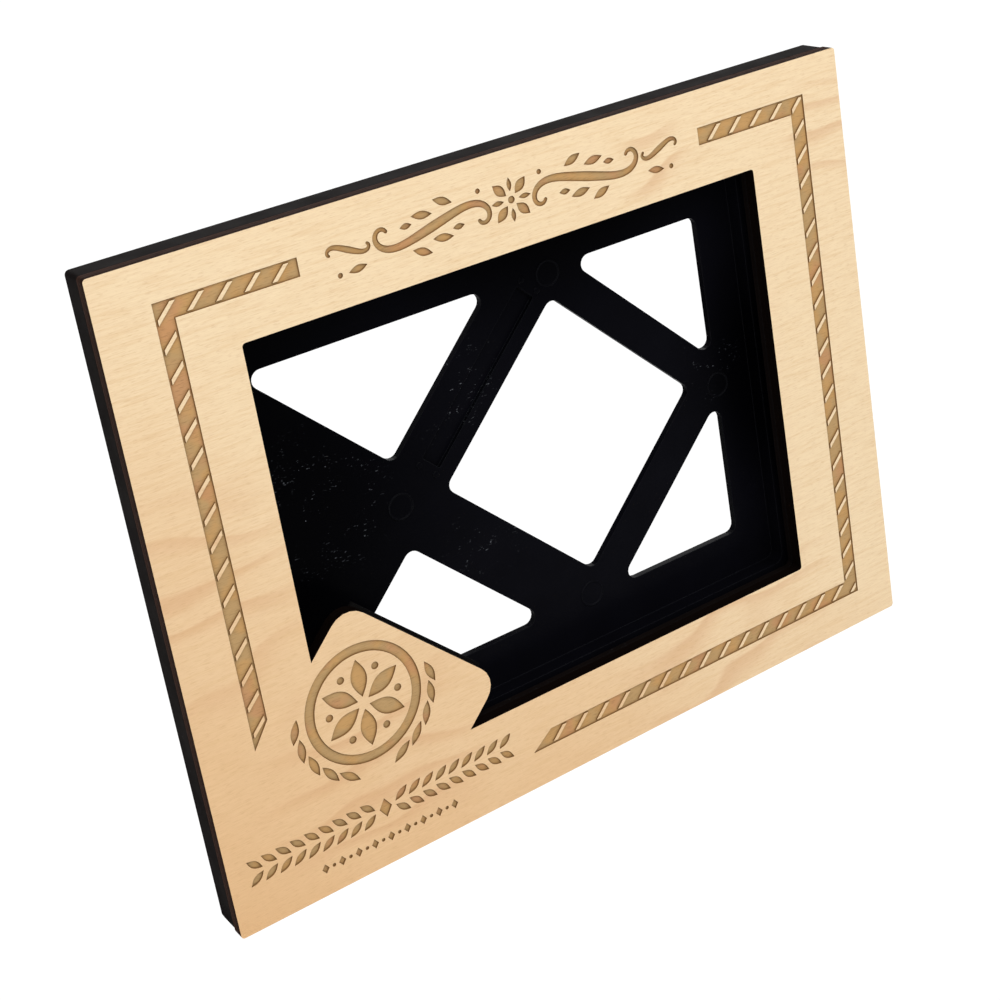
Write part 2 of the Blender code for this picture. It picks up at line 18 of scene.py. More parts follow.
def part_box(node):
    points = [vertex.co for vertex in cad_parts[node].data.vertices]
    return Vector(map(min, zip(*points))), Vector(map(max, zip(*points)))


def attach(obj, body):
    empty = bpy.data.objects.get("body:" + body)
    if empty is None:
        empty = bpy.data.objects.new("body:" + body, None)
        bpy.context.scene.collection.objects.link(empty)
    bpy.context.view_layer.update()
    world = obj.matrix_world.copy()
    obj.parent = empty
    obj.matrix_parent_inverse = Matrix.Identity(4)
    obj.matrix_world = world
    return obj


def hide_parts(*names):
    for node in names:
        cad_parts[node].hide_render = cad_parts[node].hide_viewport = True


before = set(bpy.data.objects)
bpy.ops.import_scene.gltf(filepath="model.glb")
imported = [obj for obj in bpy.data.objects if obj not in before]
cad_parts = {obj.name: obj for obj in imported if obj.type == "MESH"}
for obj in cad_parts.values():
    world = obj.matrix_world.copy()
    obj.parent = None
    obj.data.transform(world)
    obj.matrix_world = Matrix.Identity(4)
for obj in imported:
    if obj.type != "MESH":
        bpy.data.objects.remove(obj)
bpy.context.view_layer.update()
MM = 0.001
print("solids:", ", ".join(sorted(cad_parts)))

# %% [markdown]
# ## A flat working space
#
# The panel leans back on its leg. It is far easier to draw on it when it lies flat,
# so a matrix takes flat coordinates to their leaning place: x runs along the bottom
# edge, y up the face, and z out towards the viewer. The face's own box gives the
# matrix its place, so nothing is fitted by eye.

# %% The panel's matrix
LEAN = math.radians(21.5)
FACE_WIDTH = 192.0
FACE_HEIGHT = 152.4
FACE_THICKNESS = 3.4

face_low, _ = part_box("wood_face")
corner = Vector((
    face_low.x,
    face_low.y,
    face_low.z + FACE_THICKNESS * MM * math.sin(LEAN),
))
PANEL = (
    Matrix.Translation(corner)
    @ Matrix.Rotation(math.pi / 2 - LEAN, 4, "X")
    @ Matrix.Scale(MM, 4)
)
print("panel's top right corner:", PANEL @ Vector((FACE_WIDTH, FACE_HEIGHT, 0.0)))

# %% [markdown]
# ## The camera
#
# The photograph looks down on the frame from its upper left, with a fairly long
# lens. The picture's middle isn't the lens's middle, as if it was cut from a larger
# one, and a small shift puts that right. With the panel's lean as it is, the camera
# is rolled by nearly five degrees.

# %% Camera
CAMERA_PLACE = Vector((-0.2063, -0.3078, 0.3733))
CAMERA_LOOKS = Vector((0.5116, 0.6199, -0.5949)).normalized()
CAMERA_UP = Vector((0.2984, 0.5211, 0.7996))
CAMERA_LENS = 70.66
CAMERA_SHIFT = (-0.12, -0.20)

camera = bpy.data.objects.new("camera", bpy.data.cameras.new("camera"))
bpy.context.scene.collection.objects.link(camera)
camera_right = CAMERA_LOOKS.cross(CAMERA_UP).normalized()
camera_up = camera_right.cross(CAMERA_LOOKS)
turn = Matrix((camera_right, camera_up, -CAMERA_LOOKS)).transposed()
camera.matrix_world = Matrix.Translation(CAMERA_PLACE) @ turn.to_4x4()
camera.data.lens = CAMERA_LENS
camera.data.shift_x, camera.data.shift_y = CAMERA_SHIFT
bpy.context.scene.camera = camera
print("camera at", camera.location, "lens", CAMERA_LENS)

# %% [markdown]
# ## Tools for building materials
#
# Every finish here is a network of nodes, so a few small helpers keep the cells short.
# `put` adds a node and fills its sockets, with a link where it is given a socket and
# a plain value otherwise. `calculate` and `vector_step` are `put` for one step of
# arithmetic, and `noise_at` is `put` for a noise pattern.

# %% Node helpers
def put(tree, kind, sockets=None, **settings):
    node = tree.nodes.new(kind)
    for name, value in settings.items():
        setattr(node, name, value)
    for socket, value in (sockets or {}).items():
        if isinstance(value, bpy.types.NodeSocket):
            tree.links.new(value, node.inputs[socket])
        else:
            node.inputs[socket].default_value = value
    return node


def calculate(tree, operation, *values):
    node = put(tree, "ShaderNodeMath", dict(enumerate(values)), operation=operation)
    return node.outputs["Value"]


def vector_step(tree, operation, *vectors, output="Vector"):
    sockets = dict(enumerate(vectors))
    node = put(tree, "ShaderNodeVectorMath", sockets, operation=operation)
    return node.outputs[output]


def noise_at(tree, position, scale, detail=2.0):
    sockets = {"Vector": position, "Scale": scale, "Detail": detail}
    return put(tree, "ShaderNodeTexNoise", sockets).outputs["Fac"]


def map_range(tree, value, low, high, to_low=0.0, to_high=1.0, smooth=False):
    sockets = {
        "Value": value,
        "From Min": low,
        "From Max": high,
        "To Min": to_low,
        "To Max": to_high,
    }
    kind = "SMOOTHSTEP" if smooth else "LINEAR"
    node = put(tree, "ShaderNodeMapRange", sockets, interpolation_type=kind)
    return node.outputs["Result"]


def blend_colours(tree, factor, first, second):
    # The node names its sockets alike for every data type, so colour goes by number
    sockets = {0: factor, 6: first, 7: second}
    return put(tree, "ShaderNodeMix", sockets, data_type="RGBA").outputs[2]


# %% [markdown]
# Colours are written as a paint mixer reads them, from 0 to 255, and shaders want
# light that adds up, so `paint` converts. Each material reads its place on the
# object in flat panel millimetres, which `panel_position` makes from the object's
# own coordinates. The pattern then stays on the piece when the leg swings. `tint`
# lays a colour over another where a mask shows it, and `add_bump` presses a pattern
# into the surface.

# %% Colour and place
def paint(red, green, blue):
    def to_light(level):
        share = level / 255
        if share <= 0.04045:
            return share / 12.92
        return ((share + 0.055) / 1.055) ** 2.4

    return (to_light(red), to_light(green), to_light(blue), 1.0)


def panel_position(tree):
    place = put(tree, "ShaderNodeTexCoord")
    location, rotation, scale = PANEL.decompose()
    sockets = {
        "Vector": place.outputs["Object"],
        "Location": location,
        "Rotation": rotation.to_euler(),
        "Scale": scale,
    }
    flat = put(tree, "ShaderNodeMapping", sockets, vector_type="TEXTURE")
    return flat.outputs["Vector"]


def new_material(name, **sockets):
    material = bpy.data.materials.new(name)
    material.use_nodes = True
    tree = material.node_tree
    shader = tree.nodes["Principled BSDF"]
    for socket, value in sockets.items():
        shader.inputs[socket.replace("_", " ")].default_value = value
    return material, tree, shader


def tint(tree, ground, colour, mask, strength):
    share = calculate(tree, "MULTIPLY", mask, strength)
    return blend_colours(tree, share, ground, colour)


def add_bump(tree, shader, height, strength, distance, normal=None):
    sockets = {"Height": height, "Strength": strength, "Distance": distance}
    bump = put(tree, "ShaderNodeBump", sockets)
    if normal is not None:
        tree.links.new(normal, bump.inputs["Normal"])
    tree.links.new(bump.outputs["Normal"], shader.inputs["Normal"])


# %% [markdown]
# ## Effects that several finishes share
#
# Wood fibre, dust, the skin of moulded plastic and softened edges each turn up in
# more than one material. Each is a node group, made once here, and every material
# places it with its own sizes.

# %% Start of a shared effect
def new_effect(name, inputs, outputs):
    group = bpy.data.node_groups.new(name, "ShaderNodeTree")
    for socket, (kind, value) in inputs.items():
        made = group.interface.new_socket(socket, in_out="INPUT", socket_type=kind)
        if value is not None:
            made.default_value = value
    for socket, kind in outputs.items():
        group.interface.new_socket(socket, in_out="OUTPUT", socket_type=kind)
    entry = group.nodes.new("NodeGroupInput")
    leave = group.nodes.new("NodeGroupOutput")
    return group, entry.outputs, leave.inputs


def place_effect(tree, group, **sockets):
    return put(tree, "ShaderNodeGroup", sockets, node_tree=group).outputs


# %% [markdown]
# **Fibre.** Wood is a bundle of tubes that all run one way. A noise that is squeezed
# across the grain and stretched along it gives streaks of a chosen length and
# thickness. The same streaks serve for pale flecks, dark pores and the fine comb
# lines that a laser leaves.

# %% Fibre
FLOAT, VECTOR = "NodeSocketFloat", "NodeSocketVector"

fibre, given, result = new_effect(
    "fibre",
    {
        "Position": (VECTOR, None),
        "Length": (FLOAT, 4.0),
        "Thickness": (FLOAT, 0.3),
        "Sparseness": (FLOAT, 0.5),
        "Softness": (FLOAT, 0.1),
    },
    {"Streaks": FLOAT},
)
along = calculate(fibre, "DIVIDE", 1.0, given["Length"])
across = calculate(fibre, "DIVIDE", 1.0, given["Thickness"])
squeeze = put(fibre, "ShaderNodeCombineXYZ", {"X": along, "Y": across, "Z": across})
stretched = vector_step(fibre, "MULTIPLY", given["Position"], squeeze.outputs["Vector"])
noise = noise_at(fibre, stretched, 1.0)
top = calculate(fibre, "ADD", given["Sparseness"], given["Softness"])
streaks = map_range(fibre, noise, given["Sparseness"], top, smooth=True)
fibre.links.new(streaks, result["Streaks"])
print("effect:", fibre.name)

# %% [markdown]
# **Dust.** Black plastic shows every speck. Cells of a Voronoi pattern each hold one
# possible speck, a random draw per cell decides which do, and the same draw sets the
# speck's size.

# %% Dust
dust, given, result = new_effect(
    "dust",
    {
        "Position": (VECTOR, None),
        "Spacing": (FLOAT, 2.0),
        "Speck": (FLOAT, 0.12),
        "Share": (FLOAT, 0.3),
    },
    {"Specks": FLOAT},
)
closeness = calculate(dust, "DIVIDE", 1.0, given["Spacing"])
cells = put(
    dust,
    "ShaderNodeTexVoronoi",
    {"Vector": given["Position"], "Scale": closeness, "Randomness": 1.0},
)
draw = put(dust, "ShaderNodeSeparateColor", {"Color": cells.outputs["Color"]})
radius = calculate(dust, "MULTIPLY", given["Speck"], draw.outputs["Green"])
inside = calculate(dust, "LESS_THAN", cells.outputs["Distance"], radius)
chosen = calculate(dust, "LESS_THAN", draw.outputs["Red"], given["Share"])
specks = calculate(dust, "MULTIPLY", inside, chosen)
dust.links.new(specks, result["Specks"])
print("effect:", dust.name)

# %% [markdown]
# **Moulded skin.** A polished steel mould still leaves a faint ripple where the
# plastic shrank, and a fine tooth over it. Both go to the bump, and the ripple also
# shifts the gloss a little.

# %% Moulded skin
skin, given, result = new_effect(
    "moulded_skin",
    {
        "Position": (VECTOR, None),
        "Ripple": (FLOAT, 9.0),
        "Tooth": (FLOAT, 0.25),
    },
    {"Height": FLOAT, "Gloss": FLOAT},
)
ripple_scale = calculate(skin, "DIVIDE", 1.0, given["Ripple"])
tooth_scale = calculate(skin, "DIVIDE", 1.0, given["Tooth"])
ripple = noise_at(skin, given["Position"], ripple_scale)
tooth = noise_at(skin, given["Position"], tooth_scale, detail=1.0)
fine = calculate(skin, "MULTIPLY", tooth, 0.12)
height = calculate(skin, "ADD", ripple, fine)
skin.links.new(height, result["Height"])
skin.links.new(ripple, result["Gloss"])
print("effect:", skin.name)

# %% [markdown]
# ** Softened edges.** No moulded or cut edge is perfectly sharp. The Bevel node turns
# the normal near an edge as a small radius would. Where its normal parts from the
# true one there is an edge, and that difference is a mask too: the black plastic
# takes a painted highlight from it, and the plywood back its char along the cuts.

# %% Softened edges
edges, given, result = new_effect(
    "soft_edges",
    {"Radius": (FLOAT, 0.0003)},
    {"Normal": VECTOR, "Edge": FLOAT},
)
bevel = put(edges, "ShaderNodeBevel", {"Radius": given["Radius"]}, samples=4)
rounded_normal = bevel.outputs["Normal"]
true_normal = put(edges, "ShaderNodeNewGeometry").outputs["Normal"]
agreement = vector_step(
    edges, "DOT_PRODUCT", rounded_normal, true_normal, output="Value"
)
edges.links.new(rounded_normal, result["Normal"])
edges.links.new(map_range(edges, agreement, 0.98, 0.8), result["Edge"])
print("effect:", edges.name)

# %% [markdown]
# ** Spots.** Figure in the wood, dust, scuffs and painted shade each keep to certain
# places. A spot is a soft round mask about one point of the panel, the same at every
# depth, and `around` joins several of them.

# %% Spot
spot, given, result = new_effect(
    "spot",
    {"Position": (VECTOR, None), "Centre": (VECTOR, None), "Radius": (FLOAT, 10.0)},
    {"Mask": FLOAT},
)
from_centre = vector_step(spot, "SUBTRACT", given["Position"], given["Centre"])
in_plane = vector_step(spot, "MULTIPLY", from_centre, (1.0, 1.0, 0.0))
away = vector_step(spot, "LENGTH", in_plane, output="Value")
share = calculate(spot, "DIVIDE", away, given["Radius"])
spot.links.new(map_range(spot, share, 1.0, 0.3, smooth=True), result["Mask"])


def around(tree, position, places):
    total = None
    for (x, y), radius in places:
        mask = place_effect(
            tree, spot, Position=position, Centre=(x, y, 0.0), Radius=radius
        )["Mask"]
        total = mask if total is None else calculate(tree, "MAXIMUM", total, mask)
    return total


print("effect:", spot.name)

# %% [markdown]
# ## Maple
#
# Maple veneer is pale and quiet: a creamy ground, a few soft growth lines with one
# crisp side, short brown flecks along the grain and fibre almost too fine to see.
# The growth lines are bands across the grain, bent by a slow noise. They show in a
# few spots only, and the sheet turns warmer towards its lower left, both as in the
# photograph.

# %% Growth lines of the veneer
BEND_SCALE = (0.014, 0.03, 0.03)


def growth_lines(tree, position, spacing, wander):
    slow = put(tree, "ShaderNodeMapping", {"Vector": position, "Scale": BEND_SCALE})
    bend = noise_at(tree, slow.outputs["Vector"], 1.0)
    parts = put(tree, "ShaderNodeSeparateXYZ", {"Vector": position})
    shift = calculate(tree, "MULTIPLY", bend, wander)
    bent = calculate(tree, "ADD", parts.outputs["Y"], shift)
    phase = calculate(tree, "FRACT", calculate(tree, "DIVIDE", bent, spacing))
    rise = map_range(tree, phase, 0.45, 0.9, smooth=True)
    fall = map_range(tree, phase, 0.9, 1.0, 1.0, 0.0, smooth=True)
    return calculate(tree, "MULTIPLY", rise, fall)


def cloudy(tree, position, size):
    return noise_at(tree, position, 1 / size)


# %% The maple face
CREAM = paint(228, 205, 168)
WARM_CREAM = paint(211, 168, 119)
GROWTH_BROWN = paint(196, 146, 104)
STREAK_BROWN = paint(208, 171, 124)
FLECK_BROWN = paint(176, 128, 84)
FIGURE_SPOTS = (
    ((6.0, 78.0), 34.0),
    ((40.0, 24.0), 36.0),
    ((140.0, 17.0), 42.0),
    ((187.0, 133.0), 18.0),
    ((135.0, 139.0), 13.0),
)
WARMTH_ACROSS, WARMTH_UP = -210.0, -150.0
WARMTH_DRIFT = 0.7
WARMTH_LOW, WARMTH_HIGH = -0.68, 0.42

maple, tree, shader = new_material("maple_face", Specular_IOR_Level=0.3)
position = panel_position(tree)
parts = put(tree, "ShaderNodeSeparateXYZ", {"Vector": position})
towards_left = calculate(tree, "DIVIDE", parts.outputs["X"], WARMTH_ACROSS)
towards_bottom = calculate(tree, "DIVIDE", parts.outputs["Y"], WARMTH_UP)
warmth = calculate(tree, "ADD", towards_left, towards_bottom)
drift = calculate(tree, "MULTIPLY", cloudy(tree, position, 60.0), WARMTH_DRIFT)
warmth = calculate(tree, "ADD", warmth, drift)
warmth = map_range(tree, warmth, WARMTH_LOW, WARMTH_HIGH)
ground = blend_colours(tree, warmth, CREAM, WARM_CREAM)
lines = growth_lines(tree, position, spacing=11.0, wander=52.0)
shown = around(tree, position, FIGURE_SPOTS)
shown_lines = calculate(tree, "MULTIPLY", lines, shown)
figured = tint(tree, ground, GROWTH_BROWN, shown_lines, strength=0.42)
streaks = place_effect(
    tree, fibre, Position=position, Length=11.0, Thickness=0.9,
    Sparseness=0.42, Softness=0.3,
)["Streaks"]
streaked = tint(tree, figured, STREAK_BROWN, streaks, strength=0.3)
flecks = place_effect(
    tree, fibre, Position=position, Length=1.9, Thickness=0.24,
    Sparseness=0.54, Softness=0.15,
)["Streaks"]
flecked = tint(tree, streaked, FLECK_BROWN, flecks, strength=0.22)
fine_fibre = place_effect(
    tree, fibre, Position=position, Length=4.0, Thickness=0.16,
    Sparseness=0.32, Softness=0.4,
)["Streaks"]
maple_colour = tint(tree, flecked, FLECK_BROWN, fine_fibre, strength=0.14)
tree.links.new(maple_colour, shader.inputs["Base Color"])
roughness = map_range(tree, fine_fibre, 0.0, 1.0, 0.5, 0.62)
tree.links.new(roughness, shader.inputs["Roughness"])
add_bump(tree, shader, fine_fibre, strength=0.12, distance=0.0001)
print("material:", maple.name)

# %% [markdown]
# ## What the laser leaves
#
# Engraving burns the surface away a third of a millimetre deep. The floor of a
# pocket is toasted tan with orange and olive patches where the glue or the next
# ply shows, and it is darkest in a thin line at the foot of its walls, where the
# beam turned round. That line comes from a mesh attribute called scorch, which is
# 1 at the walls and fades to 0 a short way in. An occlusion mask adds to it, which
# darkens the floor where its walls crowd in: partly real scorch, partly painted shade.

# %% Engraved floor
TAN = paint(173, 141, 96)
OCHRE = paint(186, 143, 88)
ROSE_BROWN = paint(184, 132, 92)
SCORCH_BROWN = paint(102, 74, 40)

toasted, tree, shader = new_material(
    "engraved_floor", Roughness=0.75, Specular_IOR_Level=0.2
)
position = panel_position(tree)
patches = map_range(tree, cloudy(tree, position, 7.0), 0.45, 0.62, smooth=True)
second_patches = put(
    tree, "ShaderNodeMapping", {"Vector": position, "Location": (31.0, 17.0, 5.0)}
)
rosy = map_range(
    tree, cloudy(tree, second_patches.outputs["Vector"], 9.0), 0.52, 0.66, smooth=True
)
floor_colour = tint(tree, TAN, OCHRE, patches, strength=0.7)
floor_colour = tint(tree, floor_colour, ROSE_BROWN, rosy, strength=0.6)
comb = place_effect(
    tree, fibre, Position=position, Length=1.8, Thickness=0.2,
    Sparseness=0.5, Softness=0.25,
)["Streaks"]
floor_colour = tint(tree, floor_colour, SCORCH_BROWN, comb, strength=0.34)
scorch = put(tree, "ShaderNodeAttribute", attribute_name="scorch").outputs["Fac"]
scorch_curve = calculate(tree, "POWER", scorch, 1.8)
# Occlusion darkens the floor near the walls: partly real scorch, partly painted shade.
shelter = put(
    tree,
    "ShaderNodeAmbientOcclusion",
    {"Distance": 0.0009},
    samples=8,
    only_local=True,
).outputs["AO"]
corner_scorch_and_shade = map_range(tree, shelter, 0.97, 0.6)
scorched = calculate(tree, "MAXIMUM", scorch_curve, corner_scorch_and_shade)
floor_colour = tint(tree, floor_colour, SCORCH_BROWN, scorched, strength=0.52)
tree.links.new(floor_colour, shader.inputs["Base Color"])
add_bump(tree, shader, comb, strength=0.3, distance=0.0001)
print("material:", toasted.name)

# %% Engraved wall
DARK_TOAST = paint(104, 74, 40)
LIGHT_TOAST = paint(138, 102, 60)

burnt_wall, tree, shader = new_material(
    "engraved_wall", Roughness=0.8, Specular_IOR_Level=0.15
)
position = panel_position(tree)
wall_colour = blend_colours(
    tree, cloudy(tree, position, 1.2), DARK_TOAST, LIGHT_TOAST
)
tree.links.new(wall_colour, shader.inputs["Base Color"])
print("material:", burnt_wall.name)

# %% [markdown]
# ## The cut edge
#
# A laser cut chars plywood nearly black. The face veneer keeps a brown tint for half
# a millimetre, and below it the plies and glue lines show as faint bands under the
# soot. Depth behind the face drives the bands, with a little noise so that they
# waver. The walls of the window get painted shade, which takes them almost to black.

# %% Charred edge
VENEER_EDGE = paint(34, 12, 2)
CHAR_BROWN = paint(43, 23, 15)
CHAR_GREY = paint(56, 37, 29)
CHAR_BLACK = paint(28, 16, 11)
WINDOW_SHADE_BLACK = paint(7, 4, 3)
PLY_BANDS = (
    (0.16, VENEER_EDGE),
    (0.34, CHAR_BROWN),
    (0.42, CHAR_BLACK),
    (0.62, CHAR_GREY),
    (0.74, CHAR_BROWN),
    (0.95, CHAR_GREY),
)
WINDOW_MIDDLE = (96.0, 76.2)
WINDOW_HALF = (68.5, 55.0)


def within_window(tree, parts):
    mask = 1.0
    for axis, middle, half in zip("XY", WINDOW_MIDDLE, WINDOW_HALF):
        offset = calculate(tree, "SUBTRACT", parts.outputs[axis], middle)
        distance = calculate(tree, "ABSOLUTE", offset)
        inside = calculate(tree, "LESS_THAN", distance, half)
        mask = calculate(tree, "MULTIPLY", mask, inside)
    return mask


# %% Build the charred edge
charred, tree, shader = new_material(
    "charred_edge", Roughness=0.7, Specular_IOR_Level=0.02
)
position = panel_position(tree)
parts = put(tree, "ShaderNodeSeparateXYZ", {"Vector": position})
waver = calculate(tree, "MULTIPLY", cloudy(tree, position, 2.2), 0.35)
depth = calculate(tree, "SUBTRACT", waver, parts.outputs["Z"])
plies = put(tree, "ShaderNodeValToRGB")
bands = plies.color_ramp.elements
bands[0].position, bands[0].color = PLY_BANDS[0]
bands[1].position, bands[1].color = PLY_BANDS[-1]
for place, colour in PLY_BANDS[1:-1]:
    bands.new(place).color = colour
share_of_depth = calculate(tree, "DIVIDE", depth, FACE_THICKNESS)
tree.links.new(share_of_depth, plies.inputs["Fac"])
soot = place_effect(
    tree, fibre, Position=position, Length=2.5, Thickness=0.5,
    Sparseness=0.45, Softness=0.3,
)["Streaks"]
edge_colour = tint(tree, plies.outputs["Color"], CHAR_BLACK, soot, strength=0.6)
# Painted shade: the walls of the window are darkened almost to black.
window_shade = within_window(tree, parts)
edge_colour = tint(tree, edge_colour, WINDOW_SHADE_BLACK, window_shade, strength=0.95)
tree.links.new(edge_colour, shader.inputs["Base Color"])
add_bump(tree, shader, soot, strength=0.5, distance=0.0002)
print("material:", charred.name)

# %% [markdown]
# ## The back of the plywood
#
# Behind the tape the sheet shows its plainer side: a greyer veneer with longer
# streaks and no sanding to speak of, smoked brown along the cuts.

# %% Plywood back
PLAIN_VENEER = paint(214, 182, 140)
VENEER_STREAK = paint(178, 138, 96)

ply_back, tree, shader = new_material("plywood_back", Roughness=0.75)
position = panel_position(tree)
long_streaks = place_effect(
    tree, fibre, Position=position, Length=14.0, Thickness=0.5,
    Sparseness=0.4, Softness=0.35,
)["Streaks"]
back_colour = tint(tree, PLAIN_VENEER, VENEER_STREAK, long_streaks, strength=0.6)
smoky = place_effect(tree, edges, Radius=0.0006)["Edge"]
back_colour = blend_colours(tree, smoky, back_colour, CHAR_BROWN)
tree.links.new(back_colour, shader.inputs["Base Color"])
print("material:", ply_back.name)

# %% [markdown]
# ## Black plastic
#
# The rim, the back and the leg are the same kind of moulding in slightly different
# gloss. One recipe makes all three: a nearly black ground, the moulded skin in its
# bump, softened edges with a painted line of highlight, and dust in the places where
# the photograph shows it. The wall of the window shades the lattice on three sides,
# and a few dark spots paint that shade into its colour. The sides that face backwards
# are painted dark grey instead of black, a painted lift of light for the dim back.

# %% Where dust has settled, and where shade is painted
DUSTY_SPOTS = (
    ((44.0, 84.0), 22.0),
    ((81.0, 59.0), 13.0),
    ((80.0, 100.0), 17.0),
    ((152.0, 80.0), 11.0),
)
PAINTED_SHADE_SPOTS = (
    ((20.0, 85.0), 75.0),
    ((110.0, 150.0), 60.0),
    ((175.0, 76.0), 42.0),
)

# %% Recipe for the three mouldings
DUST_GREY = paint(120, 124, 130)
EDGE_HIGHLIGHT_GREY = paint(40, 41, 44)
BACK_LIFT_GREY = paint(27, 27, 29)
PAINTED_SHADE_BLACK = paint(1, 1, 2)
DUST_ELSEWHERE = 0.2
OUT_OF_FACE = (PANEL.to_3x3() @ Vector((0.0, 0.0, 1.0))).normalized()


def black_plastic(name, ground, roughness, specular, in_window=False):
    """One moulding's finish. What is seen through the window is also dusty, with painted shade.
    """
    material, tree, shader = new_material(name, Specular_IOR_Level=specular)
    position = panel_position(tree)
    surface = place_effect(tree, skin, Position=position, Ripple=9.0, Tooth=0.3)
    soft = place_effect(tree, edges, Radius=0.00025)
    dim_ground = tuple(channel * 0.6 for channel in ground)
    colour = blend_colours(tree, surface["Gloss"], ground, dim_ground)
    if in_window:
        # Painted shade: where the window's wall shades the lattice, its colour goes nearly
        # black.
        painted_shade = around(tree, position, PAINTED_SHADE_SPOTS)
        colour = tint(tree, colour, PAINTED_SHADE_BLACK, painted_shade, strength=0.9)
    # Painted highlight: the softened edges are lightened to grey in the colour.
    colour = tint(tree, colour, EDGE_HIGHLIGHT_GREY, soft["Edge"], strength=0.5)
    specks = place_effect(
        tree, dust, Position=position, Spacing=1.0, Speck=0.22, Share=0.3
    )["Specks"]
    scuffs = place_effect(
        tree, fibre, Position=position, Length=0.9, Thickness=0.3,
        Sparseness=0.64, Softness=0.1,
    )["Streaks"]
    marks = calculate(tree, "MAXIMUM", specks, scuffs)
    clusters = map_range(tree, cloudy(tree, position, 3.5), 0.5, 0.62, smooth=True)
    marks = calculate(tree, "MULTIPLY", marks, clusters)
    gate = around(tree, position, DUSTY_SPOTS) if in_window else DUST_ELSEWHERE
    dusted = calculate(tree, "MULTIPLY", marks, gate)
    # Painted light: faces that look backwards are lifted from black to dark grey.
    normal = put(tree, "ShaderNodeNewGeometry").outputs["Normal"]
    facing = vector_step(tree, "DOT_PRODUCT", normal, OUT_OF_FACE, output="Value")
    behind = map_range(tree, facing, -0.4, -0.9)
    colour = blend_colours(tree, behind, colour, BACK_LIFT_GREY)
    colour = tint(tree, colour, DUST_GREY, dusted, strength=0.4)
    tree.links.new(colour, shader.inputs["Base Color"])
    gloss = map_range(tree, surface["Gloss"], 0.3, 0.7, roughness - 0.05, roughness + 0.05)
    tree.links.new(gloss, shader.inputs["Roughness"])
    add_bump(tree, shader, surface["Height"], 0.08, 0.0002, soft["Normal"])
    return material


rim_black = black_plastic("rim_black", paint(18, 13, 12), 0.7, 0.02)
back_black = black_plastic("back_black", paint(10, 10, 15), 0.3, 0.015, in_window=True)
leg_black = black_plastic("leg_black", paint(16, 16, 18), 0.42, 0.2)
print("materials:", rim_black.name, back_black.name, leg_black.name)

# %% [markdown]
# ## Foam tape
#
# Strips of thin black foam hold the face to the rim. Only their edge shows, in the
# joint line, so the foam's open cells matter more than its colour.

# %% Tape
TAPE_BLACK = paint(7, 6, 6)
TAPE_CELL = paint(18, 17, 17)

foam_tape, tree, shader = new_material(
    "foam_tape", Roughness=0.9, Specular_IOR_Level=0.05
)
position = panel_position(tree)
cells = put(tree, "ShaderNodeTexVoronoi", {"Vector": position, "Scale": 6.0})
tape_colour = blend_colours(tree, cells.outputs["Distance"], TAPE_CELL, TAPE_BLACK)
tree.links.new(tape_colour, shader.inputs["Base Color"])
add_bump(tree, shader, cells.outputs["Distance"], strength=0.4, distance=0.0001)
print("material:", foam_tape.name)

# %% [markdown]
# ## Dress the solids that stay
#
# The moulded parts and the tapes already have the right shape, so they only take
# their new finish.

# %% Finishes onto the solids
FINISHES = {
    "bezel_frame": rim_black,
    "lattice_back": back_black,
    "easel_leg": leg_black,
    "tape_top": foam_tape,
    "tape_bottom": foam_tape,
    "tape_left": foam_tape,
    "tape_right": foam_tape,
}

for node, material in FINISHES.items():
    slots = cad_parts[node].material_slots
    for slot in slots:
        slot.material = material
    print(node, "takes", material.name)

# %% [markdown]
# ## Drawing the engraving
#
# Every engraved pocket is drawn as a closed outline in panel millimetres, filled on
# its left as a pen walks round it: outer outlines run anticlockwise, and the islands
# left standing inside them run clockwise. One rule then moves any outline into its
# pocket, which gives the walls their slope and the scorch its width.

# %% Outline tools
pockets = []
MITRE_LIMIT = 0.7


def add_pocket(outer, islands=(), margin=0.45):
    pockets.append({
        "outer": [Vector(point) for point in outer],
        "islands": [[Vector(point) for point in island] for island in islands],
        "margin": margin,
    })


def moved_in(outline, distance):
    moved = []
    for index, here in enumerate(outline):
        before = outline[index - 1]
        after = outline[(index + 1) % len(outline)]
        arriving = (here - before).normalized()
        leaving = (after - here).normalized()
        first = Vector((-arriving.y, arriving.x))
        second = Vector((-leaving.y, leaving.x))
        between = (first + second).normalized()
        moved.append(here + between * distance / max(between.dot(first), MITRE_LIMIT))
    return moved


# %% [markdown]
# ### The rope border
#
# The border is a ribbon of three pieces that runs round the window and stops short
# of the corner with the tab. Light slashes stand in it at 45 degrees. They all
# belong to one set of parallel stripes, evenly spaced over the whole face, which is
# why they meet neatly round the corners. Each stripe is clipped to the ribbon's
# inside.

# %% Slashes
STRIPE_FIRST = 126.4
STRIPE_PITCH = 6.284
STRIPE_WIDTH = 1.17


def clipped(polygon, axis, limit, side):
    kept = []
    for index, here in enumerate(polygon):
        before = polygon[index - 1]
        here_in = (here[axis] - limit) * side >= 0
        before_in = (before[axis] - limit) * side >= 0
        if here_in != before_in:
            share = (limit - before[axis]) / (here[axis] - before[axis])
            kept.append(before.lerp(here, share))
        if here_in:
            kept.append(here)
    return kept


def slash(number, left, right, bottom, top):
    """One stripe of the set within a rectangle, clockwise."""
    middle = STRIPE_FIRST - STRIPE_PITCH * number
    half = STRIPE_WIDTH / 2
    reach = FACE_WIDTH + FACE_HEIGHT
    polygon = [
        Vector((-reach, middle - reach + half)),
        Vector((reach, middle + reach + half)),
        Vector((reach, middle + reach - half)),
        Vector((-reach, middle - reach - half)),
    ]
    for axis, limit, side in ((0, left, 1), (0, right, -1), (1, bottom, 1), (1, top, -1)):
        polygon = clipped(polygon, axis, limit, side)
    return polygon


